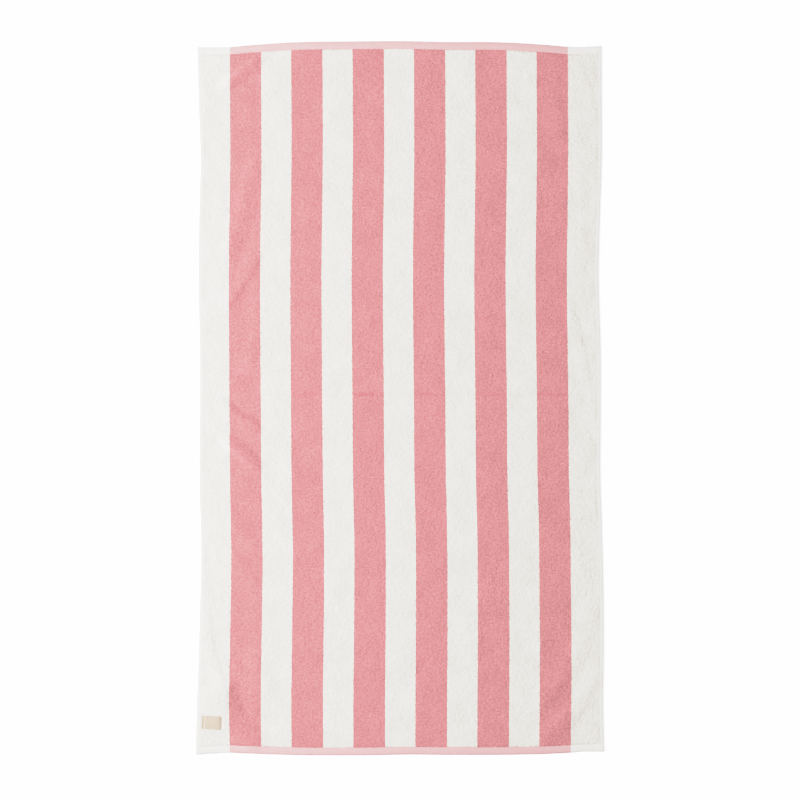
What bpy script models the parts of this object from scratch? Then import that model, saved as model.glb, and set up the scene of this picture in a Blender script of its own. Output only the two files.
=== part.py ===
"""A striped beach towel, laid out face up: one terry sheet with turned hems, and a label sewn near a corner.

Metres, +Z up. The towel rests on Z = 0 with its long way along Y, and its middle is at the origin.
"""

import math
from bisect import bisect_right
from collections import namedtuple

import bpy
from mathutils import Vector

# The cloth as woven and hemmed, with straight sides
WIDTH = 0.900
LENGTH = 1.600
STRIPES = 6
STRIPE = 0.0704  # width of a dyed stripe
BETWEEN = 0.0674  # width of the undyed cloth between two of them
STRIPE_BAND = STRIPES * STRIPE + (STRIPES - 1) * BETWEEN

# How thick the cloth is, as far in from its edge as each row says: a flat turned hem, the groove that its
# stitches pull in, and then the pile, whose loops stand on both faces
Section = namedtuple("Section", "inset thick")
END_HEM = (
    Section(0.0000, 0.0022),
    Section(0.0080, 0.0028),
    Section(0.0165, 0.0020),
    Section(0.0215, 0.0040),
)
SIDE_HEM = (
    Section(0.0000, 0.0024),
    Section(0.0045, 0.0032),
    Section(0.0080, 0.0024),
    Section(0.0105, 0.0040),
)
PILE = END_HEM[-1].thick
END_HEM_DEPTH = 0.0180  # where the flat weave of the end hem meets the pile
EDGE_ROUND = 0.0008
SHARP = math.radians(60)  # a corner sharper than this is rounded

# How far each long side lies outside its straight line, and how the band of stripes is shifted and widened,
# at heights above the towel's middle
Side = namedtuple("Side", "up left right shift widen")
SIDES = (
    Side(-0.784, 0.0073, 0.0073, 0.0006, 0.005),
    Side(-0.677, 0.0044, 0.0053, 0.0007, 0.007),
    Side(-0.565, 0.0010, 0.0066, 0.0016, 0.006),
    Side(-0.453, -0.0021, 0.0062, 0.0021, 0.003),
    Side(-0.352, -0.0045, 0.0043, 0.0022, 0.001),
    Side(-0.285, -0.0032, 0.0024, 0.0013, 0.001),
    Side(-0.173, -0.0003, -0.0008, -0.0012, 0.000),
    Side(-0.005, -0.0017, -0.0001, -0.0024, 0.000),
    Side(0.107, -0.0014, -0.0003, -0.0035, -0.001),
    Side(0.275, 0.0017, -0.0048, -0.0046, -0.002),
    Side(0.415, -0.0002, -0.0017, -0.0032, -0.002),
    Side(0.540, -0.0030, 0.0022, -0.0017, -0.002),
    Side(0.667, 0.0010, 0.0022, -0.0020, -0.002),
    Side(0.780, 0.0042, 0.0019, -0.0024, -0.002),
)

# How far each short end lies outside its straight line, at places across the towel
End = namedtuple("End", "across top bottom")
ENDS = (
    End(-0.446, -0.0130, -0.0020),
    End(-0.385, -0.0126, -0.0052),
    End(-0.345, -0.0090, -0.0037),
    End(-0.290, -0.0048, -0.0014),
    End(-0.224, -0.0012, 0.0004),
    End(-0.090, 0.0006, 0.0008),
    End(0.022, 0.0010, -0.0008),
    End(0.090, -0.0008, -0.0003),
    End(0.224, -0.0014, -0.0003),
    End(0.314, -0.0061, -0.0019),
    End(0.381, -0.0115, -0.0052),
    End(0.404, -0.0122, -0.0075),
    End(0.448, -0.0099, -0.0079),
)
END_FADE = 3  # the power with which an end's shape dies away towards the middle

# The soft ridges where the cloth stands off the surface: the two ends of the crest, how far its middle bows
# to the left of the line from one to the other, how high it is and how far its foot reaches to each side
Fold = namedtuple("Fold", "start end bow height reach")
FOLDS = (
    Fold((-0.425, 0.640), (-0.322, 0.757), 0.004, 0.0030, 0.036),
    Fold((-0.437, 0.545), (-0.403, 0.652), 0.003, 0.0025, 0.030),
    Fold((-0.395, 0.300), (-0.320, 0.512), -0.006, 0.0036, 0.040),
    Fold((-0.415, 0.180), (-0.331, 0.294), 0.004, 0.0027, 0.036),
    Fold((-0.410, 0.010), (-0.316, 0.118), 0.005, 0.0027, 0.036),
    Fold((-0.430, -0.020), (-0.322, -0.065), 0.003, 0.0022, 0.030),
    Fold((-0.420, -0.085), (-0.314, -0.146), 0.003, 0.0022, 0.030),
    Fold((-0.432, -0.520), (-0.362, -0.726), -0.006, 0.0042, 0.040),
    Fold((-0.352, -0.615), (-0.309, -0.735), -0.005, 0.0022, 0.030),
    Fold((0.436, -0.632), (0.334, -0.744), -0.006, 0.0038, 0.038),
    Fold((0.426, -0.498), (0.314, -0.666), 0.006, 0.0032, 0.036),
    Fold((0.381, 0.170), (0.415, 0.067), 0.002, 0.0018, 0.028),
    Fold((0.336, 0.742), (0.372, 0.560), 0.004, 0.0024, 0.034),
)

# The crease left across the middle, where the towel had been folded: two low shoulders beside its line
CREASE_UP = 0.0087
CREASE_SHOULDER = 0.015
CREASE_REACH = 0.015
CREASES = (
    Fold((-0.250, CREASE_UP), (0.375, CREASE_UP), 0.0, 0.0007, CREASE_REACH),
    Fold((-0.110, CREASE_UP), (-0.030, CREASE_UP), 0.0, 0.0009, CREASE_REACH),
)

# The mesh of the sheet: the widest steps that follow the shape
STEP_UP = 0.027
MARGIN_STEP = 0.015
FIRST_STRIPE_STEP = 0.018
LAST_STRIPE_STEP = 0.024

# The label
LABEL_SIZE = (0.045, 0.031)
LABEL_THICK = 0.0006
LABEL_ROUND = 0.00012
LABEL_MIDDLE = (-0.4210, -0.7261)
LABEL_TURN = math.radians(-3.5)
LABEL_CELLS = (13, 9)
LABEL_GAP = 0.0003  # between the label and the tips of the pile
DROP = 0.05  # how far above the cloth the label starts

# name: base colour, roughness
FINISHES = {
    "undyed_terry": ((0.847, 0.831, 0.799), 0.95),
    "pink_terry": ((0.790, 0.330, 0.350), 0.95),
    "pale_pink_hem": ((0.840, 0.630, 0.640), 0.85),
    "beige_label": ((0.800, 0.730, 0.640), 0.80),
}


def clear_scene():
    """Removes whatever the file holds, such as the objects of a new file."""
    for thing in list(bpy.data.objects):
        bpy.data.objects.remove(thing, do_unlink=True)


def make_collection():
    collection = bpy.data.collections.new("beach_towel")
    bpy.context.scene.collection.children.link(collection)
    return collection


def make_finish(name):
    colour, roughness = FINISHES[name]
    material = bpy.data.materials.new(name)
    material.use_nodes = True
    shader = material.node_tree.nodes["Principled BSDF"]
    shader.inputs["Base Color"].default_value = (*colour, 1.0)
    shader.inputs["Roughness"].default_value = roughness
    shader.inputs["Metallic"].default_value = 0.0
    material.diffuse_color = (*colour, 1.0)
    return material


def read_curve(table, column, place):
    """A column of a table at a place between its rows, on a smooth curve through them all."""
    places = [row[0] for row in table]
    values = [getattr(row, column) for row in table]
    last = len(table) - 1
    place = min(max(place, places[0]), places[last])
    k = min(bisect_right(places, place) - 1, last - 1)

    def slope(at):
        before, after = max(at - 1, 0), min(at + 1, last)
        return (values[after] - values[before]) / (places[after] - places[before])

    step = places[k + 1] - places[k]
    t = (place - places[k]) / step
    bend_start = t * (1 - t) ** 2 * step * slope(k)
    bend_end = t**2 * (t - 1) * step * slope(k + 1)
    blend = t * t * (3 - 2 * t)
    return values[k] * (1 - blend) + values[k + 1] * blend + bend_start + bend_end


def read_line(pairs, place):
    """The value at a place along a list of (place, value) pairs, on straight lines between them."""
    for (near, low), (far, high) in zip(pairs, pairs[1:]):
        if place <= far:
            return low + (high - low) * (place - near) / (far - near)
    return pairs[-1][1]


def spaced(start, end, step):
    """Places from start up to but not including end, evenly spaced by about a step."""
    count = max(1, round((end - start) / step))
    return [start + (end - start) * k / count for k in range(count)]


def stripe_edges():
    """The places across the straight towel where a stripe starts or ends, from left to right."""
    edges = []
    for k in range(STRIPES):
        start = -STRIPE_BAND / 2 + k * (STRIPE + BETWEEN)
        edges += [start, start + STRIPE]
    return edges


def places_across():
    """The columns of the sheet's mesh: hem lines, stripe edges, and finer steps where the sides ripple."""
    edges = stripe_edges()
    left_hem = [-WIDTH / 2 + section.inset for section in SIDE_HEM]
    right_hem = [-place for place in reversed(left_hem)]
    columns = left_hem[:-1] + spaced(left_hem[-1], edges[0], MARGIN_STEP)
    columns += spaced(edges[0], edges[1], FIRST_STRIPE_STEP)
    columns += edges[1:-2]
    columns += spaced(edges[-2], edges[-1], LAST_STRIPE_STEP)
    columns += spaced(edges[-1], right_hem[0], MARGIN_STEP)
    return columns + right_hem


def places_up():
    """The rows of the sheet's mesh: hem lines, even steps, and the lines of the crease."""
    bottom_hem = [-LENGTH / 2 + section.inset for section in END_HEM]
    top_hem = [-place for place in reversed(bottom_hem)]
    crease = [CREASE_UP - CREASE_SHOULDER - CREASE_REACH, CREASE_UP - CREASE_SHOULDER, CREASE_UP]
    crease += [CREASE_UP + CREASE_SHOULDER, CREASE_UP + CREASE_SHOULDER + CREASE_REACH]
    rows = bottom_hem[:-1] + spaced(bottom_hem[-1], crease[0], STEP_UP)
    rows += crease[:-1] + spaced(crease[-1], top_hem[0], STEP_UP)
    return rows + top_hem


def thickness_at(across, up):
    """How thick the cloth is at a place on the straight towel."""
    from_side = WIDTH / 2 - abs(across)
    from_end = LENGTH / 2 - abs(up)
    return min(read_line(SIDE_HEM, from_side), read_line(END_HEM, from_end))


def outline_place(across, up):
    """Where a place on the straight towel lies in plan, now that its sides and ends wander."""
    left, right, shift, widen = (
        read_curve(SIDES, column, up) for column in ("left", "right", "shift", "widen")
    )
    half_band = STRIPE_BAND / 2
    x = read_line(
        (
            (-WIDTH / 2, -WIDTH / 2 - left),
            (-half_band, shift - half_band - widen / 2),
            (half_band, shift + half_band + widen / 2),
            (WIDTH / 2, WIDTH / 2 + right),
        ),
        across,
    )
    outward = math.copysign(1, up)
    end = read_curve(ENDS, "top" if up > 0 else "bottom", across)
    y = up + outward * end * (abs(up) / (LENGTH / 2)) ** END_FADE
    return x, y


def ridge(fold, x, y, offset=0.0):
    """How high one fold lifts the cloth. Its section is a smooth bump that meets the surface at its reach."""
    start, end = Vector(fold.start), Vector(fold.end)
    run = end - start
    away = Vector((x, y)) - start
    t = away.dot(run) / run.length_squared
    on_crest = min(max(t, 0.0), 1.0)
    sideways = run.cross(away) / run.length - 4 * on_crest * (1 - on_crest) * fold.bow - offset
    past_end = (t - on_crest) * run.length
    distance = math.hypot(sideways, past_end) / fold.reach
    return fold.height * max(0.0, 1.0 - distance**2) ** 2


def lift_at(x, y):
    """How far the cloth's underside stands off the surface."""
    folds = sum(ridge(fold, x, y) for fold in FOLDS)
    shoulders = sum(ridge(crease, x, y, side * CREASE_SHOULDER) for crease in CREASES for side in (-1, 1))
    return folds + shoulders


def place_in_grid(unit, places):
    """The entry of a list of places for a vertex at -1 to 1 on a primitive grid."""
    return places[round((unit + 1) / 2 * (len(places) - 1))]


def finish_index(across, up):
    """Which of the cloth's finishes a face wears: 0 undyed terry, 1 dyed terry, 2 dyed hem."""
    edges = stripe_edges()
    if not edges[0] < across < edges[-1]:
        return 0
    if LENGTH / 2 - abs(up) < END_HEM_DEPTH:
        return 2
    return int(any(start < across < end for start, end in zip(edges[::2], edges[1::2])))


def add_grid(name, cells, collection):
    """A flat grid from -1 to 1, named, alone in the collection, with the number of faces each way."""
    bpy.ops.mesh.primitive_grid_add(x_subdivisions=cells[0], y_subdivisions=cells[1], size=2.0)
    grid = bpy.context.object
    grid.name = name
    grid.data.name = name
    for holder in list(grid.users_collection):
        holder.objects.unlink(grid)
    collection.objects.link(grid)
    return grid


def thicken(sheet, thickness, group=""):
    """Makes a sheet a solid by growing it upwards, thinner where the vertex group says so."""
    solidify = sheet.modifiers.new("thickness", "SOLIDIFY")
    solidify.thickness = thickness
    solidify.offset = 1.0
    solidify.vertex_group = group


def round_rim(sheet, width):
    bevel = sheet.modifiers.new("rim", "BEVEL")
    bevel.limit_method = "ANGLE"
    bevel.angle_limit = SHARP
    bevel.width = width
    bevel.segments = 2


def centre(points):
    """Moves points in plan so that the middle of their box is at the origin."""
    middle = [(min(p[k] for p in points) + max(p[k] for p in points)) / 2 for k in (0, 1)]
    return [Vector((p[0] - middle[0], p[1] - middle[1], p[2])) for p in points]


def make_cloth(collection):
    columns, rows = places_across(), places_up()
    cloth = add_grid("terry_cloth", (len(columns) - 1, len(rows) - 1), collection)
    mesh = cloth.data
    straight = [(place_in_grid(v.co.x, columns), place_in_grid(v.co.y, rows)) for v in mesh.vertices]

    for name in ("undyed_terry", "pink_terry", "pale_pink_hem"):
        mesh.materials.append(make_finish(name))
    for face in mesh.polygons:
        corners = [straight[k] for k in face.vertices]
        middle = [sum(corner[k] for corner in corners) / len(corners) for k in (0, 1)]
        face.material_index = finish_index(*middle)

    points = []
    for across, up in straight:
        x, y = outline_place(across, up)
        points.append((x, y, lift_at(x, y)))
    thin = cloth.vertex_groups.new(name="thickness")
    for vertex, point, place in zip(mesh.vertices, centre(points), straight):
        vertex.co = point
        thin.add([vertex.index], thickness_at(*place) / PILE, "REPLACE")

    thicken(cloth, PILE, thin.name)
    round_rim(cloth, EDGE_ROUND)
    mesh.shade_smooth()
    return cloth


def make_label(cloth, collection):
    """The label follows the cloth under it, a hair above the tips of the pile."""
    label = add_grid("woven_label", LABEL_CELLS, collection)
    mesh = label.data
    mesh.materials.append(make_finish("beige_label"))
    for vertex in mesh.vertices:
        vertex.co.x *= LABEL_SIZE[0] / 2
        vertex.co.y *= LABEL_SIZE[1] / 2
    label.location = (*LABEL_MIDDLE, DROP)
    label.rotation_euler.z = LABEL_TURN

    seat = label.modifiers.new("seat", "SHRINKWRAP")
    seat.target = cloth
    seat.wrap_method = "PROJECT"
    seat.wrap_mode = "ABOVE_SURFACE"
    seat.use_project_z = True
    seat.use_negative_direction = True
    seat.use_positive_direction = False
    seat.offset = LABEL_GAP

    thicken(label, LABEL_THICK)
    round_rim(label, LABEL_ROUND)
    return label


def main():
    clear_scene()
    collection = make_collection()
    cloth = make_cloth(collection)
    make_label(cloth, collection)


main()
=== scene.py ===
"""A striped terry beach towel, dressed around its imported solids: ground cloth, pile, stitches and label.

Metres, +Z up. The towel lies face up on Z = 0 with its long way along Y and the label near -X, -Y.
"""

import math
from collections import namedtuple

import bpy
import numpy as np
from bpy.props import FloatProperty, FloatVectorProperty, IntProperty, PointerProperty
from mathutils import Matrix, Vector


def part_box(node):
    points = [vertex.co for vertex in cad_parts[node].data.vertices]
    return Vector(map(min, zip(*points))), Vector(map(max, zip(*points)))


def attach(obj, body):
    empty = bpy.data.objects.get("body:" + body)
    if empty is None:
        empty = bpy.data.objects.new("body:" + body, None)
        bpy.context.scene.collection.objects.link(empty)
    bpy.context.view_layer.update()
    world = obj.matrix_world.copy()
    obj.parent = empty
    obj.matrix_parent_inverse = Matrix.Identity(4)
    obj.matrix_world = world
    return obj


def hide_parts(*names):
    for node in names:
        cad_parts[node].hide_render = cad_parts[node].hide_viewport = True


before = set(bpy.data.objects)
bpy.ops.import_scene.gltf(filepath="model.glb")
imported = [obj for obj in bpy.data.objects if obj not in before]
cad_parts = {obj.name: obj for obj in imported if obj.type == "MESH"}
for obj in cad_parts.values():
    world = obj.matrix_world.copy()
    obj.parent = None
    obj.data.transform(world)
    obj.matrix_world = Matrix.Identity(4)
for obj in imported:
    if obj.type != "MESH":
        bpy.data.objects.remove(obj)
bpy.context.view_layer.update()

bl_info = {
    "name": "Striped Beach Towel",
    "version": (1, 0, 0),
    "blender": (4, 5, 0),
    "location": "View3D > Sidebar > Towel",
    "description": "Makes the cloth, terry pile, hem stitches and label of a striped beach towel",
    "category": "Object",
}

# ---------------------------------------------------------------- the towel as it lies

# How far each long side lies outside its straight line, and how the band of stripes is shifted and widened,
# at heights above the towel's middle
Side = namedtuple("Side", "up left right shift widen")
SIDES = (
    Side(-0.784, 0.0073, 0.0073, 0.0006, 0.005),
    Side(-0.677, 0.0044, 0.0053, 0.0007, 0.007),
    Side(-0.565, 0.0010, 0.0066, 0.0016, 0.006),
    Side(-0.453, -0.0021, 0.0062, 0.0021, 0.003),
    Side(-0.352, -0.0045, 0.0043, 0.0022, 0.001),
    Side(-0.285, -0.0032, 0.0024, 0.0013, 0.001),
    Side(-0.173, -0.0003, -0.0008, -0.0012, 0.000),
    Side(-0.005, -0.0017, -0.0001, -0.0024, 0.000),
    Side(0.107, -0.0014, -0.0003, -0.0035, -0.001),
    Side(0.275, 0.0017, -0.0048, -0.0046, -0.002),
    Side(0.415, -0.0002, -0.0017, -0.0032, -0.002),
    Side(0.540, -0.0030, 0.0022, -0.0017, -0.002),
    Side(0.667, 0.0010, 0.0022, -0.0020, -0.002),
    Side(0.780, 0.0042, 0.0019, -0.0024, -0.002),
)

# How far each short end lies outside its straight line, at places across the towel
End = namedtuple("End", "across top bottom")
ENDS = (
    End(-0.446, -0.0130, -0.0020),
    End(-0.385, -0.0126, -0.0052),
    End(-0.345, -0.0090, -0.0037),
    End(-0.290, -0.0048, -0.0014),
    End(-0.224, -0.0012, 0.0004),
    End(-0.090, 0.0006, 0.0008),
    End(0.022, 0.0010, -0.0008),
    End(0.090, -0.0008, -0.0003),
    End(0.224, -0.0014, -0.0003),
    End(0.314, -0.0061, -0.0019),
    End(0.381, -0.0115, -0.0052),
    End(0.404, -0.0122, -0.0075),
    End(0.448, -0.0099, -0.0079),
)
END_FADE = 3  # the power with which an end's shape dies away towards the middle

# The soft ridges where the cloth stands off the floor: the upper and lower ends of the crest, how far its
# middle bows to the right of the line between them, how high it is at the upper end and how much higher at
# the lower one, and how far its foot reaches to the right and to the left
Fold = namedtuple("Fold", "start end bow height rise east west")
FOLDS = (
    Fold((-0.330, 0.748), (-0.383, 0.708), 0.000, 0.0032, 0.0016, 0.022, 0.018),
    Fold((-0.338, 0.690), (-0.338, 0.625), 0.000, 0.0006, 0.0000, 0.018, 0.034),
    Fold((-0.331, 0.515), (-0.384, 0.335), 0.004, 0.0019, 0.0002, 0.036, 0.027),
    Fold((-0.330, 0.298), (-0.374, 0.225), 0.000, 0.0017, 0.0002, 0.015, 0.028),
    Fold((-0.316, 0.228), (-0.326, 0.125), 0.000, 0.0011, 0.0000, 0.034, 0.032),
    Fold((-0.330, 0.095), (-0.366, 0.040), 0.000, 0.0009, 0.0000, 0.020, 0.028),
    Fold((-0.384, -0.021), (-0.336, -0.054), -0.004, 0.0030, 0.0008, 0.018, 0.030),
    Fold((-0.379, -0.106), (-0.334, -0.143), 0.001, 0.0045, -0.0005, 0.029, 0.018),
    Fold((-0.366, -0.280), (-0.334, -0.325), 0.000, 0.0008, 0.0000, 0.018, 0.024),
    Fold((-0.372, -0.355), (-0.338, -0.395), 0.000, 0.0007, 0.0000, 0.018, 0.024),
    Fold((-0.430, -0.500), (-0.404, -0.620), -0.004, 0.0010, 0.0000, 0.013, 0.024),
    Fold((-0.394, -0.654), (-0.328, -0.762), -0.020, 0.0062, -0.0032, 0.041, 0.078),
    Fold((-0.320, -0.585), (-0.318, -0.700), 0.000, 0.0018, 0.0004, 0.060, 0.034),
    Fold((-0.476, -0.660), (-0.478, -0.790), 0.000, 0.0052, 0.0000, 0.112, 0.030),
    Fold((-0.367, -0.587), (-0.347, -0.634), 0.000, 0.0006, 0.0000, 0.010, 0.014),
    Fold((0.348, 0.715), (0.359, 0.600), 0.000, 0.0006, 0.0000, 0.018, 0.030),
    Fold((0.403, 0.740), (0.421, 0.690), 0.000, 0.0006, 0.0000, 0.016, 0.020),
    Fold((0.404, 0.550), (0.412, 0.365), 0.000, 0.0004, 0.0000, 0.016, 0.020),
    Fold((0.384, 0.195), (0.416, 0.060), 0.000, 0.0011, 0.0000, 0.015, 0.026),
    Fold((0.320, -0.520), (0.318, -0.540), 0.000, 0.0018, 0.0000, 0.036, 0.030),
    Fold((0.418, -0.485), (0.322, -0.670), 0.022, 0.0010, 0.0007, 0.032, 0.034),
    Fold((0.429, -0.635), (0.334, -0.748), 0.011, 0.0017, 0.0007, 0.032, 0.029),
)
TAPER = 0.040  # how far past its ends a crest dies away

# The crease across the middle, where the towel had been folded, with how deep it is pressed as its height
CREASES = (
    Fold((-0.250, 0.0087), (0.375, 0.0087), 0.0, 0.0005, 0.0000, 0.0060, 0.0060),
    Fold((-0.108, 0.0087), (-0.033, 0.0087), 0.0, 0.0006, 0.0000, 0.0060, 0.0060),
)

# How thick the ground cloth is, as far in from its edge as each row says: the turned hem, the groove that its
# stitches pull in, and the ground weave that the pile hides. The two short ends are rounded differently
EndSection = namedtuple("EndSection", "inset top bottom")
END_HEM = (
    EndSection(0.0000, 0.0016, 0.0006),
    EndSection(0.0005, 0.0022, 0.0012),
    EndSection(0.0012, 0.0026, 0.0020),
    EndSection(0.0024, 0.0031, 0.0030),
    EndSection(0.0040, 0.0035, 0.0036),
    EndSection(0.0060, 0.0037, 0.0038),
    EndSection(0.0092, 0.0038, 0.0038),
    EndSection(0.0134, 0.0036, 0.0036),
    EndSection(0.0158, 0.0029, 0.0029),
    EndSection(0.0170, 0.0018, 0.0018),
    EndSection(0.0187, 0.0021, 0.0021),
    EndSection(0.0275, 0.0026, 0.0026),
)
SideSection = namedtuple("SideSection", "inset thick")
SIDE_HEM = (
    SideSection(0.0000, 0.0030),
    SideSection(0.0003, 0.0036),
    SideSection(0.0010, 0.0038),
    SideSection(0.0062, 0.0038),
    SideSection(0.0080, 0.0036),
    SideSection(0.0092, 0.0037),
    SideSection(0.0160, 0.0026),
)
GROUND = 0.0026  # how thick the ground weave is away from the hems

LOW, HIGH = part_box("terry_cloth")
WIDTH = HIGH.x - LOW.x - max(row.left for row in SIDES) - max(row.right for row in SIDES)
LENGTH = HIGH.y - LOW.y - max(row.top for row in ENDS) - max(row.bottom for row in ENDS)
LABEL_LOW, LABEL_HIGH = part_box("woven_label")
SEED = 20  # for all the random draws


# ---------------------------------------------------------------- sizes and colours a user may change


class TowelSizes(bpy.types.PropertyGroup):
    """How the towel is woven and hemmed"""

    stripes: IntProperty(
        name="Stripes", description="How many dyed stripes run up the towel", default=6, min=1
    )
    stripe: FloatProperty(
        name="Stripe", description="Width of a dyed stripe", default=0.0704, unit="LENGTH"
    )
    between: FloatProperty(
        name="Between", description="Undyed cloth between two stripes", default=0.0674, unit="LENGTH"
    )
    pile: FloatProperty(
        name="Pile", description="Height of the loops' tips above the floor", default=0.0040, unit="LENGTH"
    )
    loop: FloatProperty(
        name="Loop", description="Distance from one modelled loop to the next", default=0.0020, unit="LENGTH"
    )
    scatter: FloatProperty(
        name="Scatter", description="How much single loops differ in height", default=0.00045, unit="LENGTH"
    )
    clumps: FloatProperty(
        name="Clumps", description="How much tufts of loops rise and fall", default=0.00026, unit="LENGTH"
    )
    end_hem: FloatProperty(
        name="End hem", description="Where the pile starts at a short end", default=0.0184, unit="LENGTH"
    )
    side_hem: FloatProperty(
        name="Side hem", description="Where the pile starts at a long side", default=0.0090, unit="LENGTH"
    )
    end_seam: FloatProperty(
        name="End seam", description="How far in a short end is stitched", default=0.0172, unit="LENGTH"
    )
    side_seam: FloatProperty(
        name="Side seam", description="How far in a long side is stitched", default=0.0080, unit="LENGTH"
    )
    stitch: FloatProperty(
        name="Stitch", description="Length of one stitch with its gap", default=0.0034, unit="LENGTH"
    )
    thread: FloatProperty(
        name="Thread", description="Radius of the sewing thread", default=0.00033, unit="LENGTH"
    )


class TowelLabel(bpy.types.PropertyGroup):
    """The small woven label near a corner"""

    width: FloatProperty(name="Width", description="Along the ribbon", default=0.045, unit="LENGTH")
    height: FloatProperty(name="Height", description="Across the ribbon", default=0.031, unit="LENGTH")
    thick: FloatProperty(name="Thickness", description="Of the ribbon", default=0.0005, unit="LENGTH")
    turn: FloatProperty(
        name="Turn", description="How crooked it is sewn on", default=math.radians(-3.5), subtype="ANGLE"
    )
    seam: FloatProperty(
        name="Seam", description="From each end to its row of stitches", default=0.0026, unit="LENGTH"
    )
    bulge: FloatProperty(
        name="Bulge", description="How far it stands up between its seams", default=0.0005, unit="LENGTH"
    )


class TowelColours(bpy.types.PropertyGroup):
    """Colours of the yarns"""

    undyed: FloatVectorProperty(
        name="Undyed", description="Bleached pile", default=(0.886, 0.856, 0.798), size=3, subtype="COLOR"
    )
    hem: FloatVectorProperty(
        name="Hem", description="Bleached flat weave", default=(0.943, 0.916, 0.858), size=3, subtype="COLOR"
    )
    pink: FloatVectorProperty(
        name="Pink", description="Dyed stripes", default=(0.760, 0.326, 0.343), size=3, subtype="COLOR"
    )
    pale_pink: FloatVectorProperty(
        name="Pale pink", description="End hems", default=(0.850, 0.535, 0.540), size=3, subtype="COLOR"
    )
    beige: FloatVectorProperty(
        name="Beige", description="Label ribbon", default=(0.655, 0.563, 0.480), size=3, subtype="COLOR"
    )
    brown: FloatVectorProperty(
        name="Brown", description="Label thread", default=(0.330, 0.250, 0.170), size=3, subtype="COLOR"
    )


class TowelStage(bpy.types.PropertyGroup):
    """The floor, the lights and the camera"""

    key: FloatProperty(name="Key", description="Power of the window on the left", default=410.0, unit="POWER")
    fill: FloatProperty(name="Fill", description="Strength of the even light all round", default=0.22)
    floor: FloatProperty(name="Floor", description="How much the white floor glows", default=1.3)
    lens: FloatProperty(name="Lens", description="Focal length of the camera", default=85.0, unit="CAMERA")
    field: FloatProperty(name="Field", description="Width of the picture", default=1.792, unit="LENGTH")


# ---------------------------------------------------------------- where the cloth lies


def read_curve(table, name, place):
    """A column of a table at places between its rows, on a smooth curve through them all."""
    places = np.array([row[0] for row in table])
    values = np.array([getattr(row, name) for row in table])
    before, after = np.r_[0, 0 : len(places) - 1], np.r_[1 : len(places), len(places) - 1]
    slopes = (values[after] - values[before]) / (places[after] - places[before])
    place = np.clip(place, places[0], places[-1])
    k = np.clip(np.searchsorted(places, place, side="right") - 1, 0, len(places) - 2)
    step = places[k + 1] - places[k]
    t = (place - places[k]) / step
    blend = t * t * (3 - 2 * t)
    bend = step * (t * (1 - t) ** 2 * slopes[k] + t * t * (t - 1) * slopes[k + 1])
    return values[k] * (1 - blend) + values[k + 1] * blend + bend


def read_section(hem, name, inset):
    """A column of a hem's table, on straight lines between its rows."""
    return np.interp(inset, [row.inset for row in hem], [getattr(row, name) for row in hem])


def stripe_edges(sizes):
    """The places across the straight towel where a stripe starts or ends, from left to right."""
    band = sizes.stripes * sizes.stripe + (sizes.stripes - 1) * sizes.between
    starts = -band / 2 + np.arange(sizes.stripes) * (sizes.stripe + sizes.between)
    return np.stack([starts, starts + sizes.stripe], axis=1).ravel()


def plan(sizes, across, up):
    """Where places on the straight towel lie, now that its sides and ends wander."""
    left, right, shift, widen = (read_curve(SIDES, name, up) for name in ("left", "right", "shift", "widen"))
    half_band = stripe_edges(sizes)[-1]
    margin = WIDTH / 2 - half_band
    beyond = np.clip((np.abs(across) - half_band) / margin, 0, 1)
    on_band = np.clip(across, -half_band, half_band)
    x = shift + on_band * (1 + widen / (2 * half_band))
    left_edge, right_edge = -WIDTH / 2 - left, WIDTH / 2 + right
    x = x + beyond * (np.where(across < 0, left_edge, right_edge) - x)
    end = np.where(up > 0, read_curve(ENDS, "top", across), read_curve(ENDS, "bottom", across))
    y = up + np.sign(up) * end * (np.abs(up) / (LENGTH / 2)) ** END_FADE
    return x, y


def ridge(fold, x, y):
    """How high one fold lifts the cloth. Its section is a smooth bump that meets the floor at its reach."""
    start = np.array(fold.start)
    run = np.array(fold.end) - start
    length = np.hypot(*run)
    t = ((x - start[0]) * run[0] + (y - start[1]) * run[1]) / length**2
    on_crest = np.clip(t, 0, 1)
    sideways = ((y - start[1]) * run[0] - (x - start[0]) * run[1]) / length
    sideways = sideways - 4 * on_crest * (1 - on_crest) * fold.bow
    reach = np.where(sideways > 0, fold.east, fold.west)
    distance = np.hypot(sideways / reach, (t - on_crest) * length / TAPER)
    return (fold.height + on_crest * fold.rise) * np.clip(1 - distance**2, 0, None) ** 2


def lift(x, y):
    """How far the underside stands off the floor."""
    return sum(ridge(fold, x, y) for fold in FOLDS)


def ground_thick(across, up):
    """How thick the ground cloth is at places on the straight towel."""
    from_side = read_section(SIDE_HEM, "thick", WIDTH / 2 - np.abs(across))
    inset = LENGTH / 2 - np.abs(up)
    from_end = np.where(up > 0, read_section(END_HEM, "top", inset), read_section(END_HEM, "bottom", inset))
    return from_side + from_end - GROUND


NOISE_SPAN = 2  # noise covers a square of this side round the middle, wider than the towel is long


def blotches(x, y, size, seed):
    """Smooth noise from -1 to 1 whose blotches are about a size wide."""
    count = int(NOISE_SPAN / size) + 3
    lattice = np.random.default_rng(seed).uniform(-1, 1, (count, count))
    u, v = (x + NOISE_SPAN / 2) / size, (y + NOISE_SPAN / 2) / size
    i, j = u.astype(int), v.astype(int)
    s, t = (w * w * (3 - 2 * w) for w in (u - i, v - j))
    near = lattice[j, i] * (1 - s) + lattice[j, i + 1] * s
    far = lattice[j + 1, i] * (1 - s) + lattice[j + 1, i + 1] * s
    return near * (1 - t) + far * t


def smooth_step(value, low, high):
    """From 0 at or below the low value to 1 at or above the high one."""
    t = np.clip((value - low) / (high - low), 0, 1)
    return t * t * (3 - 2 * t)


def evenly(start, end, step):
    """Places from start to end, both among them, about a step apart."""
    return np.linspace(start, end, max(2, round((end - start) / step) + 1))


# ---------------------------------------------------------------- making meshes

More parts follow.
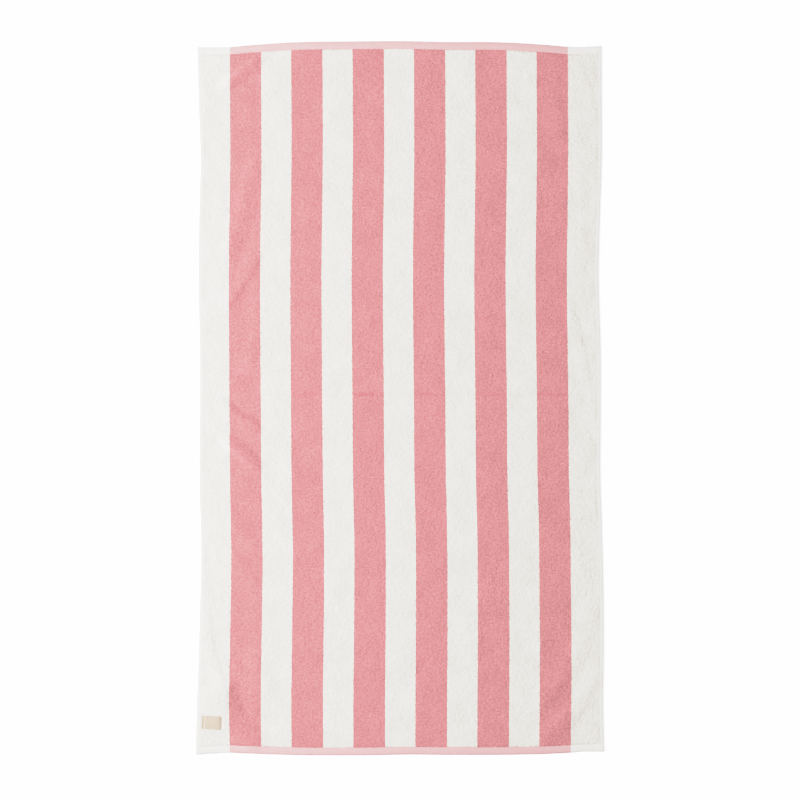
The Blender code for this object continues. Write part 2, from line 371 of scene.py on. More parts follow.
MAP_GAP = 0.02  # the bare edge round each strip of a texture map, as a share of its width
SHARP = math.radians(60)  # a rim's edges are sharper than this and are rounded


def grid_mesh(name, points, strips=0):
    """A mesh of quads over an array of points, rows by columns, facing up when rows run up and columns right.

    A long one gets a texture map that cuts it across into strips, side by side, so that it fills a square."""
    rows, columns = points.shape[:2]
    corner = (np.arange(rows - 1)[:, None] * columns + np.arange(columns - 1)).ravel()
    faces = np.stack([corner, corner + 1, corner + columns + 1, corner + columns], axis=1)
    mesh = bpy.data.meshes.new(name)
    mesh.from_pydata(points.reshape(-1, 3).tolist(), [], faces.tolist())
    if strips:
        row, column = np.divmod(np.arange((rows - 1) * (columns - 1)), columns - 1)
        high = math.ceil((rows - 1) / strips)
        strip = row // high
        u = (column[:, None] + (0, 1, 1, 0)) / (columns - 1)
        v = (row[:, None] + (0, 0, 1, 1) - (strip * high)[:, None]) / high
        u = (strip[:, None] + MAP_GAP + (1 - 2 * MAP_GAP) * u) / strips
        v = MAP_GAP / strips + (1 - 2 * MAP_GAP / strips) * v
        layer = mesh.uv_layers.new(name="OFBake")
        layer.data.foreach_set("uv", np.stack([u, v], axis=2).ravel())
    return mesh


def add_piece(name, mesh):
    """Puts a mesh in the scene as a piece of the towel."""
    piece = bpy.data.objects.new(name, mesh)
    bpy.context.scene.collection.objects.link(piece)
    mesh.polygons.foreach_set("use_smooth", [True] * len(mesh.polygons))
    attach(piece, "root")
    return piece


def thicken(piece, thickness, rim, segments, weights=None):
    """Grows a sheet upwards into a solid with a rounded rim, thinner where the weights say so."""
    solidify = piece.modifiers.new("thickness", "SOLIDIFY")
    if weights is not None:
        group = piece.vertex_groups.new(name="thickness")
        for index, weight in enumerate(weights.ravel()):
            group.add([index], float(weight), "REPLACE")
        solidify.vertex_group = group.name
    solidify.thickness = thickness
    solidify.offset = 1.0
    bevel = piece.modifiers.new("rim", "BEVEL")
    bevel.limit_method = "ANGLE"
    bevel.angle_limit = SHARP
    bevel.width = rim
    bevel.segments = segments


# ---------------------------------------------------------------- node groups and materials


def new_group(name, inputs, outputs):
    """An empty shader node group with named number or colour sockets."""
    group = bpy.data.node_groups.new(name, "ShaderNodeTree")
    for socket, value in inputs.items():
        kind = "NodeSocketFloat" if isinstance(value, float) else "NodeSocketColor"
        made = group.interface.new_socket(socket, in_out="INPUT", socket_type=kind)
        made.default_value = value if isinstance(value, float) else (*value, 1.0)
    for socket, kind in outputs.items():
        group.interface.new_socket(socket, in_out="OUTPUT", socket_type=kind)
    return group, group.nodes.new("NodeGroupInput"), group.nodes.new("NodeGroupOutput")


def add_math(tree, operation, first, second=None, third=None, clamp=False):
    """A Math node whose inputs are numbers or other nodes' sockets. Returns its output."""
    node = tree.nodes.new("ShaderNodeMath")
    node.operation = operation
    node.use_clamp = clamp
    for socket, value in zip(node.inputs, (first, second, third)):
        if isinstance(value, bpy.types.NodeSocket):
            tree.links.new(value, socket)
        elif value is not None:
            socket.default_value = value
    return node.outputs[0]


def add_noise(tree, place, scale, detail=2.0, roughness=0.5, stretch=None):
    """A noise texture on a place. The scale is a socket or a number. Returns its value, 0.5 in the mean."""
    node = tree.nodes.new("ShaderNodeTexNoise")
    node.inputs["Detail"].default_value = detail
    node.inputs["Roughness"].default_value = roughness
    if stretch:
        place = add_stretch(tree, place, stretch)
    tree.links.new(place, node.inputs["Vector"])
    if isinstance(scale, bpy.types.NodeSocket):
        tree.links.new(scale, node.inputs["Scale"])
    else:
        node.inputs["Scale"].default_value = scale
    return node.outputs["Fac"]


def add_stretch(tree, place, factors):
    """A place measured in units of its own along each axis."""
    node = tree.nodes.new("ShaderNodeVectorMath")
    node.operation = "MULTIPLY"
    node.inputs[1].default_value = factors
    tree.links.new(place, node.inputs[0])
    return node.outputs[0]


def add_place(tree):
    """Where a point is on its piece, in metres."""
    return tree.nodes.new("ShaderNodeTexCoord").outputs["Object"]


def add_shaded(tree, colour, shade):
    """A colour made darker or lighter by a factor."""
    node = tree.nodes.new("ShaderNodeVectorMath")
    node.operation = "SCALE"
    tree.links.new(colour, node.inputs[0])
    tree.links.new(shade, node.inputs["Scale"])
    return node.outputs[0]


def make_yarn_group():
    """Colour that varies as dyed cotton does: blotches where the loops lean, and specks between them."""
    group, given, result = new_group(
        "Cotton Yarn Colour",
        {
            "Color": (0.8, 0.8, 0.8),
            "Speck Size": 0.004,
            "Speck Depth": 0.12,
            "Blotch Size": 0.05,
            "Blotch Depth": 0.04,
        },
        {"Color": "NodeSocketColor"},
    )
    place = add_place(group)
    shade = 1.0
    for kind, detail in (("Speck", 3.0), ("Blotch", 2.0)):
        scale = add_math(group, "DIVIDE", 1.0, given.outputs[kind + " Size"])
        noise = add_noise(group, place, scale, detail, 0.6)
        swing = add_math(group, "MULTIPLY_ADD", noise, 2.0, -1.0)
        swing = add_math(group, "MULTIPLY_ADD", swing, given.outputs[kind + " Depth"], 1.0)
        shade = add_math(group, "MULTIPLY", shade, swing)
    group.links.new(add_shaded(group, given.outputs["Color"], shade), result.inputs["Color"])


def add_domes(tree, place, size, turn):
    """Round-backed lengths of yarn, lying one way: 1 along the middle of each and 0 at its edge."""
    swung = tree.nodes.new("ShaderNodeVectorRotate")
    swung.rotation_type = "Z_AXIS"
    swung.inputs["Angle"].default_value = turn
    tree.links.new(place, swung.inputs["Vector"])
    cells = tree.nodes.new("ShaderNodeTexVoronoi")
    cells.inputs["Randomness"].default_value = 0.85
    tree.links.new(add_stretch(tree, swung.outputs[0], (1.0, 0.55, 0.0)), cells.inputs["Vector"])
    tree.links.new(add_math(tree, "DIVIDE", 1.0, size), cells.inputs["Scale"])
    squared = add_math(tree, "MULTIPLY", cells.outputs["Distance"], cells.outputs["Distance"])
    return add_math(tree, "MULTIPLY_ADD", squared, -2.2, 1.0, clamp=True)


def make_terry_group():
    """Height of terry, with round-backed loops packed close in tufts that lean all ways, and the gaps between
    loops, where shade is painted.
    """
    group, given, result = new_group(
        "Terry Loops",
        {"Loop Size": 0.0013, "Tuft Size": 0.009},
        {"Height": "NodeSocketFloat", "Painted Gap Shade": "NodeSocketFloat"},
    )
    size = given.outputs["Loop Size"]
    place = add_place(group)
    stray = group.nodes.new("ShaderNodeTexNoise")
    stray.inputs["Detail"].default_value = 1.0
    group.links.new(place, stray.inputs["Vector"])
    group.links.new(add_math(group, "DIVIDE", 0.3, size), stray.inputs["Scale"])
    bend = group.nodes.new("ShaderNodeVectorMath")
    bend.operation = "MULTIPLY_ADD"
    bend.inputs[1].default_value = (0.002, 0.002, 0.0)
    group.links.new(stray.outputs["Color"], bend.inputs[0])
    group.links.new(place, bend.inputs[2])
    lying = [add_domes(group, bend.outputs[0], size, turn) for turn in (0.5, -0.9)]
    loops = add_math(group, "MAXIMUM", *lying)
    tufts = add_noise(group, place, add_math(group, "DIVIDE", 1.0, given.outputs["Tuft Size"]), 2.0)
    group.links.new(add_math(group, "MULTIPLY_ADD", tufts, 1.2, loops), result.inputs["Height"])
    # the gaps between the loops, where shade is painted into the colour
    painted_shade = add_math(group, "MULTIPLY_ADD", loops, -1.6, 1.2, clamp=True)
    group.links.new(painted_shade, result.inputs["Painted Gap Shade"])


def make_weave_group():
    """Height of a plain weave, and shade painted darker where its threads dip: threads across pass over and
    under threads up.
    """
    group, given, result = new_group(
        "Plain Weave",
        {"Pitch Across": 0.0008, "Pitch Up": 0.0011, "Ribs": 0.5},
        {"Height": "NodeSocketFloat", "Shade": "NodeSocketFloat"},
    )
    place = add_place(group)
    split = group.nodes.new("ShaderNodeSeparateXYZ")
    group.links.new(place, split.inputs[0])
    waves = []
    for axis, pitch in (("X", "Pitch Across"), ("Y", "Pitch Up")):
        turns = add_math(group, "DIVIDE", split.outputs[axis], given.outputs[pitch])
        waves.append(add_math(group, "SINE", add_math(group, "MULTIPLY", turns, math.pi)))
    crossing = add_math(group, "MULTIPLY", *waves)
    rib = add_math(group, "MULTIPLY", add_math(group, "ABSOLUTE", waves[1]), given.outputs["Ribs"])
    uneven = add_noise(group, place, 900.0, 2.0, stretch=(0.3, 1.0, 1.0))
    height = add_math(group, "MULTIPLY_ADD", crossing, 0.35, rib)
    height = add_math(group, "MULTIPLY_ADD", uneven, 0.5, height)
    group.links.new(height, result.inputs["Height"])
    # shade painted darker where the weave is low
    group.links.new(add_math(group, "MULTIPLY_ADD", height, 0.12, 0.92), result.inputs["Shade"])


def place_group(tree, name, **values):
    """A node group in a material, with its own values. Socket names are given with _ for spaces."""
    node = tree.nodes.new("ShaderNodeGroup")
    node.node_tree = bpy.data.node_groups[name]
    for socket, value in values.items():
        node.inputs[socket.replace("_", " ").title()].default_value = value
    return node


def start_material(name, roughness, sheen):
    """A material of matt cotton, with its node tree and its shader."""
    material = bpy.data.materials.new(name)
    material.use_nodes = True
    shader = material.node_tree.nodes["Principled BSDF"]
    shader.inputs["Roughness"].default_value = roughness
    shader.inputs["Specular IOR Level"].default_value = 0.25
    shader.inputs["Sheen Weight"].default_value = sheen
    shader.inputs["Sheen Roughness"].default_value = 0.6
    return material, material.node_tree, shader


def add_bump(tree, shader, height, distance):
    """Relief finer than the mesh, as high as the distance where the height is 1."""
    bump = tree.nodes.new("ShaderNodeBump")
    bump.inputs["Distance"].default_value = distance
    tree.links.new(height, bump.inputs["Height"])
    tree.links.new(bump.outputs["Normal"], shader.inputs["Normal"])


def make_pile_material(name, colour, depth):
    """Terry loops of one yarn, with painted shade, deeper in colour, in the gaps between them, where a crease
    parts them and where they meet the end hems.
    """
    material, tree, shader = start_material(name, 0.95, 0.12)
    loops = place_group(tree, "Terry Loops")
    specks = {"speck_size": 0.0038, "speck_depth": depth, "blotch_depth": 0.12}
    yarn = place_group(tree, "Cotton Yarn Colour", color=(*colour, 1.0), **specks)
    shadow = tree.nodes.new("ShaderNodeMix")
    shadow.data_type = "RGBA"
    shadow.blend_type = "MULTIPLY"
    # painted shade along creases and where the pile meets the end hems, from the mesh's attribute
    crease_and_painted_shade = tree.nodes.new("ShaderNodeAttribute")
    crease_and_painted_shade.attribute_name = "crease_and_painted_shade"
    painted_crease_and_hem_shade = add_math(tree, "MULTIPLY", crease_and_painted_shade.outputs["Fac"], 0.4)
    painted_shade = add_math(tree, "MULTIPLY_ADD", loops.outputs["Painted Gap Shade"], 0.6, painted_crease_and_hem_shade)
    tree.links.new(painted_shade, shadow.inputs["Factor"])
    tree.links.new(yarn.outputs["Color"], shadow.inputs["A"])
    # the painted shade: a darker, deeper colour of the yarn
    shadow.inputs["B"].default_value = (*(0.35 + 0.6 * channel for channel in colour), 1.0)
    tree.links.new(shadow.outputs["Result"], shader.inputs["Base Color"])
    add_bump(tree, shader, loops.outputs["Height"], 0.0004)
    return material


def make_hem_material(name, colour):
    """Flat weave of one yarn."""
    material, tree, shader = start_material(name, 0.85, 0.08)
    yarn = place_group(tree, "Cotton Yarn Colour", color=(*colour, 1.0), speck_size=0.003, speck_depth=0.05)
    weave = place_group(tree, "Plain Weave")
    # the weave's painted shade on the yarn's colour
    paint = add_shaded(tree, yarn.outputs["Color"], weave.outputs["Shade"])
    tree.links.new(paint, shader.inputs["Base Color"])
    add_bump(tree, shader, weave.outputs["Height"], 0.00025)
    return material


def make_ribbon_material(name, colour):
    """The label's fine ribbed ribbon."""
    material, tree, shader = start_material(name, 0.6, 0.1)
    yarn = place_group(tree, "Cotton Yarn Colour", color=(*colour, 1.0), speck_size=0.005, speck_depth=0.06)
    weave = place_group(tree, "Plain Weave", pitch_across=0.0005, pitch_up=0.0009, ribs=0.9)
    # the weave's painted shade on the yarn's colour
    paint = add_shaded(tree, yarn.outputs["Color"], weave.outputs["Shade"])
    tree.links.new(paint, shader.inputs["Base Color"])
    add_bump(tree, shader, weave.outputs["Height"], 0.0002)
    return material


def make_thread_material(name, colour):
    """Sewing thread."""
    material, tree, shader = start_material(name, 0.7, 0.1)
    yarn = place_group(tree, "Cotton Yarn Colour", color=(*colour, 1.0), speck_size=0.0015, speck_depth=0.08)
    tree.links.new(yarn.outputs["Color"], shader.inputs["Base Color"])
    return material


# ---------------------------------------------------------------- the ground cloth

GROUND_STEP = 0.0085  # the mesh's step away from the hems and stripe edges
RIM = 0.0004  # rounding of the cloth's edge


def ground_columns(sizes):
    """Places across the ground cloth: hem lines, stripe edges and even steps between."""
    insets = np.array([row.inset for row in SIDE_HEM])
    edges = np.r_[-WIDTH / 2 + insets[-1], stripe_edges(sizes), WIDTH / 2 - insets[-1]]
    inner = np.concatenate([evenly(a, b, GROUND_STEP)[:-1] for a, b in zip(edges, edges[1:])])
    return np.r_[-WIDTH / 2 + insets[:-1], inner, WIDTH / 2 - insets[::-1]]


def ground_rows():
    """Places up the ground cloth: hem lines and even steps between."""
    insets = np.array([row.inset for row in END_HEM])
    inner = evenly(-LENGTH / 2 + insets[-1], LENGTH / 2 - insets[-1], GROUND_STEP)[:-1]
    return np.r_[-LENGTH / 2 + insets[:-1], inner, LENGTH / 2 - insets[::-1]]


class TOWEL_OT_ground(bpy.types.Operator):
    """Weave the ground cloth with its turned hems, in one sheet"""

    bl_idname = "towel.weave_ground"
    bl_label = "Ground Cloth"

    def execute(self, context):
        sizes, colours = context.scene.towel_sizes, context.scene.towel_colours
        across, up = np.meshgrid(ground_columns(sizes), ground_rows())
        x, y = to_frame(*plan(sizes, across, up))
        mesh = grid_mesh("towel_ground", np.stack([x, y, lift(x, y)], axis=2))
        ground = add_piece("towel_ground", mesh)
        finishes = (
            make_pile_material("undyed_ground", colours.undyed, depth=0.2),
            make_pile_material("pink_ground", colours.pink, depth=0.45),
            make_hem_material("undyed_hem", colours.hem),
            make_hem_material("pale_pink_hem", colours.pale_pink),
        )
        for finish in finishes:
            mesh.materials.append(finish)
        middle_across = (across[1:, 1:] + across[1:, :-1]) / 2
        middle_up = (up[1:, 1:] + up[:-1, 1:]) / 2
        mesh.polygons.foreach_set("material_index", self.finish_of(sizes, middle_across, middle_up).ravel())
        thick = ground_thick(across, up)
        thicken(ground, thick.max(), RIM, 4, thick / thick.max())
        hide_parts("terry_cloth")
        return {"FINISHED"}

    def finish_of(self, sizes, across, up):
        """Which finish each face has: 0 undyed ground, 1 pink ground, 2 undyed hem, 3 pale pink hem."""
        edges = stripe_edges(sizes)
        stripe = np.searchsorted(edges, across) % 2
        in_band = (across > edges[0]) & (across < edges[-1])
        end_hem = LENGTH / 2 - np.abs(up) < sizes.end_hem
        side_hem = WIDTH / 2 - np.abs(across) < sizes.side_hem
        return np.where(end_hem & in_band, 3, np.where(end_hem | side_hem, 2, stripe)).astype(np.int32)


def to_frame(x, y):
    """Moves the plan to where the solids have it."""
    return x + (LOW.x + HIGH.x) / 2, y + (LOW.y + HIGH.y) / 2


# ---------------------------------------------------------------- the pile

MAP_STRIPS = 5
JITTER = 0.30  # how far a loop strays from its place, as a share of their distance
RISE_AND_DROP = (-1, 0.6)  # how far single loops stand down and up, as shares of the scatter
TUFTS = ((0.005, 0.9), (0.012, 0.7), (0.040, 2.2))  # width of the clumps, and their share of the height
RAGGED = 0.0012  # how far in from the hems single loops start late
DEEPEST = 0.0011  # a crease this deep has the darkest painted shade

# How high the pile starts at a hem, how far in it is at its full height, and how much shade is painted on it
# where it starts
Border = namedtuple("Border", "low rise shade")
END_BORDER = Border(0.0028, 0.0040, 0.1)
SIDE_BORDER = Border(0.0039, 0.0060, 0.0)

UNDER_LABEL = 0.0029  # height of the pile under the label
LOOSE = 0.01  # how much higher it may stand clear of the label
LABEL_EDGE = 0.002  # how far past its edge the label holds the pile down


class TOWEL_OT_pile(bpy.types.Operator):
    """Raise the terry loops, with each stripe of yarn a carpet of its own on the ground cloth"""

    bl_idname = "towel.raise_pile"
    bl_label = "Terry Pile"

    def execute(self, context):
        sizes, colours = context.scene.towel_sizes, context.scene.towel_colours
        finishes = (
            make_pile_material("undyed_terry", colours.undyed, depth=0.2),
            make_pile_material("pink_terry", colours.pink, depth=0.56),
        )
        edges = np.r_[-WIDTH / 2 + sizes.side_hem, stripe_edges(sizes), WIDTH / 2 - sizes.side_hem]
        runs = [evenly(a, b, sizes.loop) for a, b in zip(edges, edges[1:])]
        columns = np.concatenate([run[:-1] for run in runs] + [edges[-1:]])
        rows = evenly(-LENGTH / 2 + sizes.end_hem, LENGTH / 2 - sizes.end_hem, sizes.loop)
        points, shade = self.loop_points(sizes, columns, rows)
        starts = np.cumsum([0] + [len(run) - 1 for run in runs])
        for k, (first, last) in enumerate(zip(starts, starts[1:])):
            dyed = k % 2
            name = f"{('undyed', 'pink')[dyed]}_pile_{k // 2 + 1}"
            mesh = grid_mesh(name, points[:, first : last + 1], MAP_STRIPS)
            mesh.materials.append(finishes[dyed])
            mesh.attributes.new("crease_and_painted_shade", "FLOAT", "POINT").data.foreach_set(
                "value", shade[:, first : last + 1].ravel()
            )
            add_piece(name, mesh)
        return {"FINISHED"}

    def loop_points(self, sizes, columns, rows):
        """The tips of the loops, unevenly spaced and high and lower along the hems, and the shade painted on
        them along creases and where they start at the hems.
        """
        across, up = np.meshgrid(columns, rows)
        random = np.random.default_rng(SEED)
        sway = random.uniform(-JITTER, JITTER, (2, *across.shape)) * sizes.loop
        x, y = to_frame(*plan(sizes, across + sway[0], up + sway[1]))
        height = sizes.pile + sizes.scatter * random.uniform(*RISE_AND_DROP, across.shape)
        for size, share in TUFTS:
            height += share * sizes.clumps * blotches(x, y, size, SEED + round(size * 1e4))
        # a crease lowers the pile, and its depth also sets the shade painted along it
        crease_and_painted_shade = sum(ridge(crease, x, y) for crease in CREASES)
        height -= crease_and_painted_shade
        ragged = random.uniform(0, RAGGED, across.shape)
        # shade painted on the pile: along the creases, and where it starts at the hems
        shade = crease_and_painted_shade / DEEPEST
        for border, inset in (
            (END_BORDER, LENGTH / 2 - sizes.end_hem - np.abs(up)),
            (SIDE_BORDER, WIDTH / 2 - sizes.side_hem - np.abs(across)),
        ):
            risen = smooth_step(inset + ragged, 0, border.rise)
            height = border.low + (height - border.low) * risen
            shade = np.maximum(shade, border.shade * (1 - risen))
        height = np.minimum(height, press_under_label(x, y))
        return np.stack([x, y, lift(x, y) + height], axis=2), shade


def press_under_label(x, y):
    """The highest that the pile may stand, which is only under the label less than it would."""
    middle = (LABEL_LOW + LABEL_HIGH) / 2
    label = bpy.context.scene.towel_label
    u, v = turned(x - middle.x, y - middle.y, -label.turn)
    outside = np.maximum(np.abs(u) - label.width / 2, np.abs(v) - label.height / 2)
    return UNDER_LABEL + LOOSE * smooth_step(outside, 0, LABEL_EDGE)


def turned(u, v, angle):
    """Places turned anticlockwise about the origin."""
    return u * math.cos(angle) - v * math.sin(angle), u * math.sin(angle) + v * math.cos(angle)


# ---------------------------------------------------------------- stitches

# The rings of one stitch: how far along it, as a share of its length, and how high and thick, in thread radii
STITCH_RINGS = (
    (-0.44, -0.6, 0.5),
    (-0.30, 0.35, 0.95),
    (0.0, 0.6, 1.0),
    (0.30, 0.35, 0.95),
    (0.44, -0.6, 0.5),
)
STITCH_SIDES = 6
SEAM_END = 0.006  # how far from the towel's corner a row of stitches stops
SEAM_STEP = 0.004  # distance between the points that a seam follows


def stitch_row(name, points, sizes, finish):
    """Lockstitches along a line of points: short lengths of thread whose ends dive into the cloth."""
    points = np.asarray(points)
    along = np.r_[0, np.cumsum(np.linalg.norm(np.diff(points, axis=0), axis=1))]
    count = int(along[-1] / sizes.stitch)
    middles = (np.arange(count) + 0.5) * along[-1] / count
    at = np.stack([np.interp(middles, along, points[:, k]) for k in range(3)], axis=1)
    ahead = np.stack([np.interp(middles + sizes.stitch / 2, along, points[:, k]) for k in range(3)], axis=1)
    forward = ahead - at
    forward /= np.linalg.norm(forward, axis=1, keepdims=True)
    side = np.cross(forward, (0, 0, 1))
    side /= np.linalg.norm(side, axis=1, keepdims=True)
    above = np.cross(side, forward)
    angles = np.arange(STITCH_SIDES) * 2 * math.pi / STITCH_SIDES
    verts = []
    for place, rise, fat in STITCH_RINGS:
        centre = at + forward * place * sizes.stitch + above * rise * sizes.thread
        for angle in angles:
            spoke = side * math.cos(angle) + above * math.sin(angle)
            verts.append(centre + spoke * sizes.thread * fat)
    verts = np.stack(verts, axis=1)
    rings = len(STITCH_RINGS)
    faces = []
    for ring in range(rings - 1):
        for k in range(STITCH_SIDES):
            a, b = ring * STITCH_SIDES + k, ring * STITCH_SIDES + (k + 1) % STITCH_SIDES
            faces.append([a, a + STITCH_SIDES, b + STITCH_SIDES, b])
    per = rings * STITCH_SIDES
    everything = (np.arange(count)[:, None, None] * per + np.array(faces)).reshape(-1, 4)
    mesh = bpy.data.meshes.new(name)
    mesh.from_pydata(verts.reshape(-1, 3).tolist(), [], everything.tolist())
    mesh.materials.append(finish)
    return add_piece(name, mesh)


class TOWEL_OT_stitches(bpy.types.Operator):
    """Sew the turned hems down with a row of lockstitches along each side"""

    bl_idname = "towel.sew_hems"
    bl_label = "Hem Stitches"

    def execute(self, context):
        sizes, colours = context.scene.towel_sizes, context.scene.towel_colours
        white = make_thread_material("undyed_thread", colours.undyed)
        pale = make_thread_material("pale_pink_thread", colours.pale_pink)
        end_inset, side_inset = LENGTH / 2 - sizes.end_seam, WIDTH / 2 - sizes.side_seam
        lengthways = evenly(-LENGTH / 2 + SEAM_END, LENGTH / 2 - SEAM_END, SEAM_STEP)
        crossways = evenly(-WIDTH / 2 + SEAM_END, WIDTH / 2 - SEAM_END, SEAM_STEP)
        for name, across, up, thread in (
            ("left_hem_stitches", np.full_like(lengthways, -side_inset), lengthways, white),
            ("right_hem_stitches", np.full_like(lengthways, side_inset), lengthways, white),
            ("top_hem_stitches", crossways, np.full_like(crossways, end_inset), pale),
            ("bottom_hem_stitches", crossways, np.full_like(crossways, -end_inset), pale),
        ):
            x, y = to_frame(*plan(sizes, across, up))
            z = lift(x, y) + ground_thick(across, up)
            stitch_row(name, np.stack([x, y, z], axis=1), sizes, thread)
        return {"FINISHED"}


# ---------------------------------------------------------------- the label

LABEL_STEP = 0.001
SEAM_CLEAR = 0.0002  # how far the label stands off the pile at its seams
BULGE_RUN = 0.006  # how far from a seam the label stands fully proud
LOOSE_END = 0.6  # how proud the label stands outside its seams, as a share of the bulge
RIPPLE, RIPPLE_SIZE = 0.3, 0.012  # how uneven the bulge is, and over what distance
SHORT_OF_EDGE = 0.001  # how far from the ribbon's edge its stitches stop


class TOWEL_OT_label(bpy.types.Operator):
    """Sew the small woven label on at both its ends"""

    bl_idname = "towel.sew_label"
    bl_label = "Label"

    def execute(self, context):
        sizes, colours = context.scene.towel_sizes, context.scene.towel_colours
        label = context.scene.towel_label
        u, v = np.meshgrid(
            evenly(-label.width / 2, label.width / 2, LABEL_STEP),
            evenly(-label.height / 2, label.height / 2, LABEL_STEP),
        )
        mesh = grid_mesh("towel_label", self.surface(label, u, v))
        mesh.materials.append(make_ribbon_material("beige_ribbon", colours.beige))
        piece = add_piece("towel_label", mesh)
        thicken(piece, label.thick, label.thick / 4, 2)
        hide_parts("woven_label")
        thread = make_thread_material("brown_thread", colours.brown)
        for name, side in (("label_stitches_left", -1), ("label_stitches_right", 1)):
            v = evenly(-label.height / 2 + SHORT_OF_EDGE, label.height / 2 - SHORT_OF_EDGE, LABEL_STEP)
            line = self.surface(label, np.full_like(v, side * (label.width / 2 - label.seam)), v)
            line[:, 2] += label.thick
            stitch_row(name, line, sizes, thread)
        return {"FINISHED"}

    def surface(self, label, u, v):
        """The underside of the label: down on the pile at its seams and a little proud between them."""
        middle = (LABEL_LOW + LABEL_HIGH) / 2
        x, y = turned(u, v, label.turn)
        x, y = x + middle.x, y + middle.y
        from_seam = np.abs(np.abs(u) - (label.width / 2 - label.seam))
        inner = np.abs(u) < label.width / 2 - label.seam
        proud = label.bulge * smooth_step(from_seam, 0, BULGE_RUN) * np.where(inner, 1.0, LOOSE_END)
        proud = proud * (1 + RIPPLE * blotches(x, y, RIPPLE_SIZE, SEED))
        return np.stack([x, y, lift(x, y) + UNDER_LABEL + SEAM_CLEAR + proud], axis=-1)


# ---------------------------------------------------------------- the stage

FLOOR = -0.0003  # the floor lies this far under the towel, so that the two do not touch
FLOOR_SIZE = 40
BOUNCE = 0.25  # how much the floor glows on the towel
SKY = 2.2  # how bright the background is to the camera
KEY_TINT = (1.014, 1.003, 0.979)
FILL_TINT = (0.965, 0.982, 1.07)
WINDOW_SIZE = (2.0, 4.5)
WINDOW_PLACE = (-3.6, 0.15, 3.4)
AIM = (0.0001, -0.0037)  # the middle of the picture
BRIGHTEST = 2.0  # light that shows as the last point of the shoulder

# The shoulder of the tones: light, and how bright it shows
SHOULDER = (
    (0.4, 0.4),
    (0.6, 0.6),
    (0.7, 0.7),
    (0.8, 0.776),
    (0.9, 0.813),
    (1.0, 0.8395),
    (1.15, 0.872),
    (1.3, 0.894),
    (1.5, 0.9155),
)
WHITE = 0.99  # how bright the brightest light shows


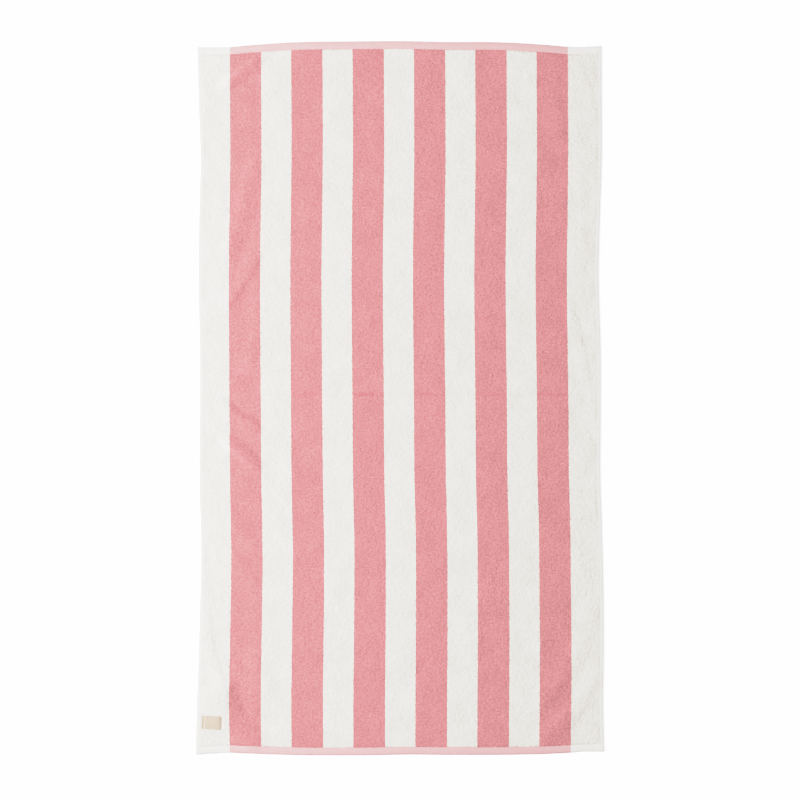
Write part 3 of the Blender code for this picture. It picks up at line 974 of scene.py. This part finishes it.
class TOWEL_OT_stage(bpy.types.Operator):
    """Set the pale floor, the soft lights and the camera straight above"""

    bl_idname = "towel.set_stage"
    bl_label = "Stage"

    def execute(self, context):
        stage = context.scene.towel_stage
        self.lay_floor(stage)
        self.hang_lights(stage)
        self.place_camera(context.scene, stage)
        self.set_tones(context.scene.view_settings)
        return {"FINISHED"}

    def lay_floor(self, stage):
        bpy.ops.mesh.primitive_plane_add(size=FLOOR_SIZE, location=(0, 0, FLOOR))
        floor = bpy.context.object
        floor.name = "studio_floor"
        material = bpy.data.materials.new("studio_white")
        material.use_nodes = True
        shader = material.node_tree.nodes["Principled BSDF"]
        shader.inputs["Base Color"].default_value = (0.9, 0.9, 0.9, 1.0)
        shader.inputs["Roughness"].default_value = 0.9
        shader.inputs["Specular IOR Level"].default_value = 0.1
        shader.inputs["Emission Color"].default_value = (1.0, 1.0, 1.0, 1.0)
        seen = material.node_tree.nodes.new("ShaderNodeLightPath").outputs["Is Camera Ray"]
        glow = add_math(material.node_tree, "MULTIPLY_ADD", seen, stage.floor - BOUNCE, BOUNCE)
        material.node_tree.links.new(glow, shader.inputs["Emission Strength"])
        floor.data.materials.append(material)

    def hang_lights(self, stage):
        window = bpy.data.lights.new("window", "AREA")
        window.shape = "RECTANGLE"
        window.size, window.size_y = WINDOW_SIZE
        window.energy = stage.key
        window.color = KEY_TINT
        lamp = bpy.data.objects.new("window", window)
        lamp.location = WINDOW_PLACE
        aim = -lamp.location
        lamp.rotation_euler = aim.to_track_quat("-Z", "Y").to_euler()
        bpy.context.scene.collection.objects.link(lamp)
        world = bpy.data.worlds.new("studio")
        bpy.context.scene.world = world
        world.use_nodes = True
        tree = world.node_tree
        background = tree.nodes["Background"]
        background.inputs["Color"].default_value = (*FILL_TINT, 1.0)
        seen = tree.nodes.new("ShaderNodeLightPath").outputs["Is Camera Ray"]
        strength = add_math(tree, "MULTIPLY_ADD", seen, SKY - stage.fill, stage.fill)
        tree.links.new(strength, background.inputs["Strength"])

    def place_camera(self, scene, stage):
        data = bpy.data.cameras.new("above")
        data.lens = stage.lens
        camera = bpy.data.objects.new("above", data)
        distance = stage.field * data.lens / data.sensor_width
        camera.location = (*AIM, distance + (LOW.z + HIGH.z) / 2)
        scene.collection.objects.link(camera)
        scene.camera = camera

    def set_tones(self, view):
        """Plain display colours with a soft shoulder, so that white cloth stays below white."""
        view.view_transform = "Standard"
        view.look = "None"
        view.use_curve_mapping = True
        mapping = view.curve_mapping
        mapping.white_level = (BRIGHTEST,) * 3
        mapping.extend = "HORIZONTAL"
        curve = mapping.curves[3]
        for light, shown in SHOULDER:
            curve.points.new(light / BRIGHTEST, shown)
        curve.points[-1].location = (1.0, WHITE)
        mapping.update()


# ---------------------------------------------------------------- panel and registration


class TOWEL_PT_panel(bpy.types.Panel):
    """Sizes, colours and steps of the towel"""

    bl_label = "Striped Beach Towel"
    bl_idname = "TOWEL_PT_panel"
    bl_space_type = "VIEW_3D"
    bl_region_type = "UI"
    bl_category = "Towel"

    def draw(self, context):
        layout = self.layout
        for group in GROUPS:
            settings = getattr(context.scene, group)
            for name in settings.__annotations__:
                layout.prop(settings, name)
        for step in STEPS:
            layout.operator(step.bl_idname)


GROUPS = {
    "towel_sizes": TowelSizes,
    "towel_label": TowelLabel,
    "towel_colours": TowelColours,
    "towel_stage": TowelStage,
}
STEPS = (TOWEL_OT_ground, TOWEL_OT_pile, TOWEL_OT_stitches, TOWEL_OT_label, TOWEL_OT_stage)


def register():
    for made in (*GROUPS.values(), *STEPS, TOWEL_PT_panel):
        bpy.utils.register_class(made)
    for name, group in GROUPS.items():
        setattr(bpy.types.Scene, name, PointerProperty(type=group))


def unregister():
    for name in GROUPS:
        delattr(bpy.types.Scene, name)
    for made in reversed((*GROUPS.values(), *STEPS, TOWEL_PT_panel)):
        bpy.utils.unregister_class(made)


def main():
    register()
    for make in (make_yarn_group, make_terry_group, make_weave_group):
        make()
    bpy.ops.towel.weave_ground()
    bpy.ops.towel.raise_pile()
    bpy.ops.towel.sew_hems()
    bpy.ops.towel.sew_label()
    bpy.ops.towel.set_stage()


if __name__ == "__main__":
    main()
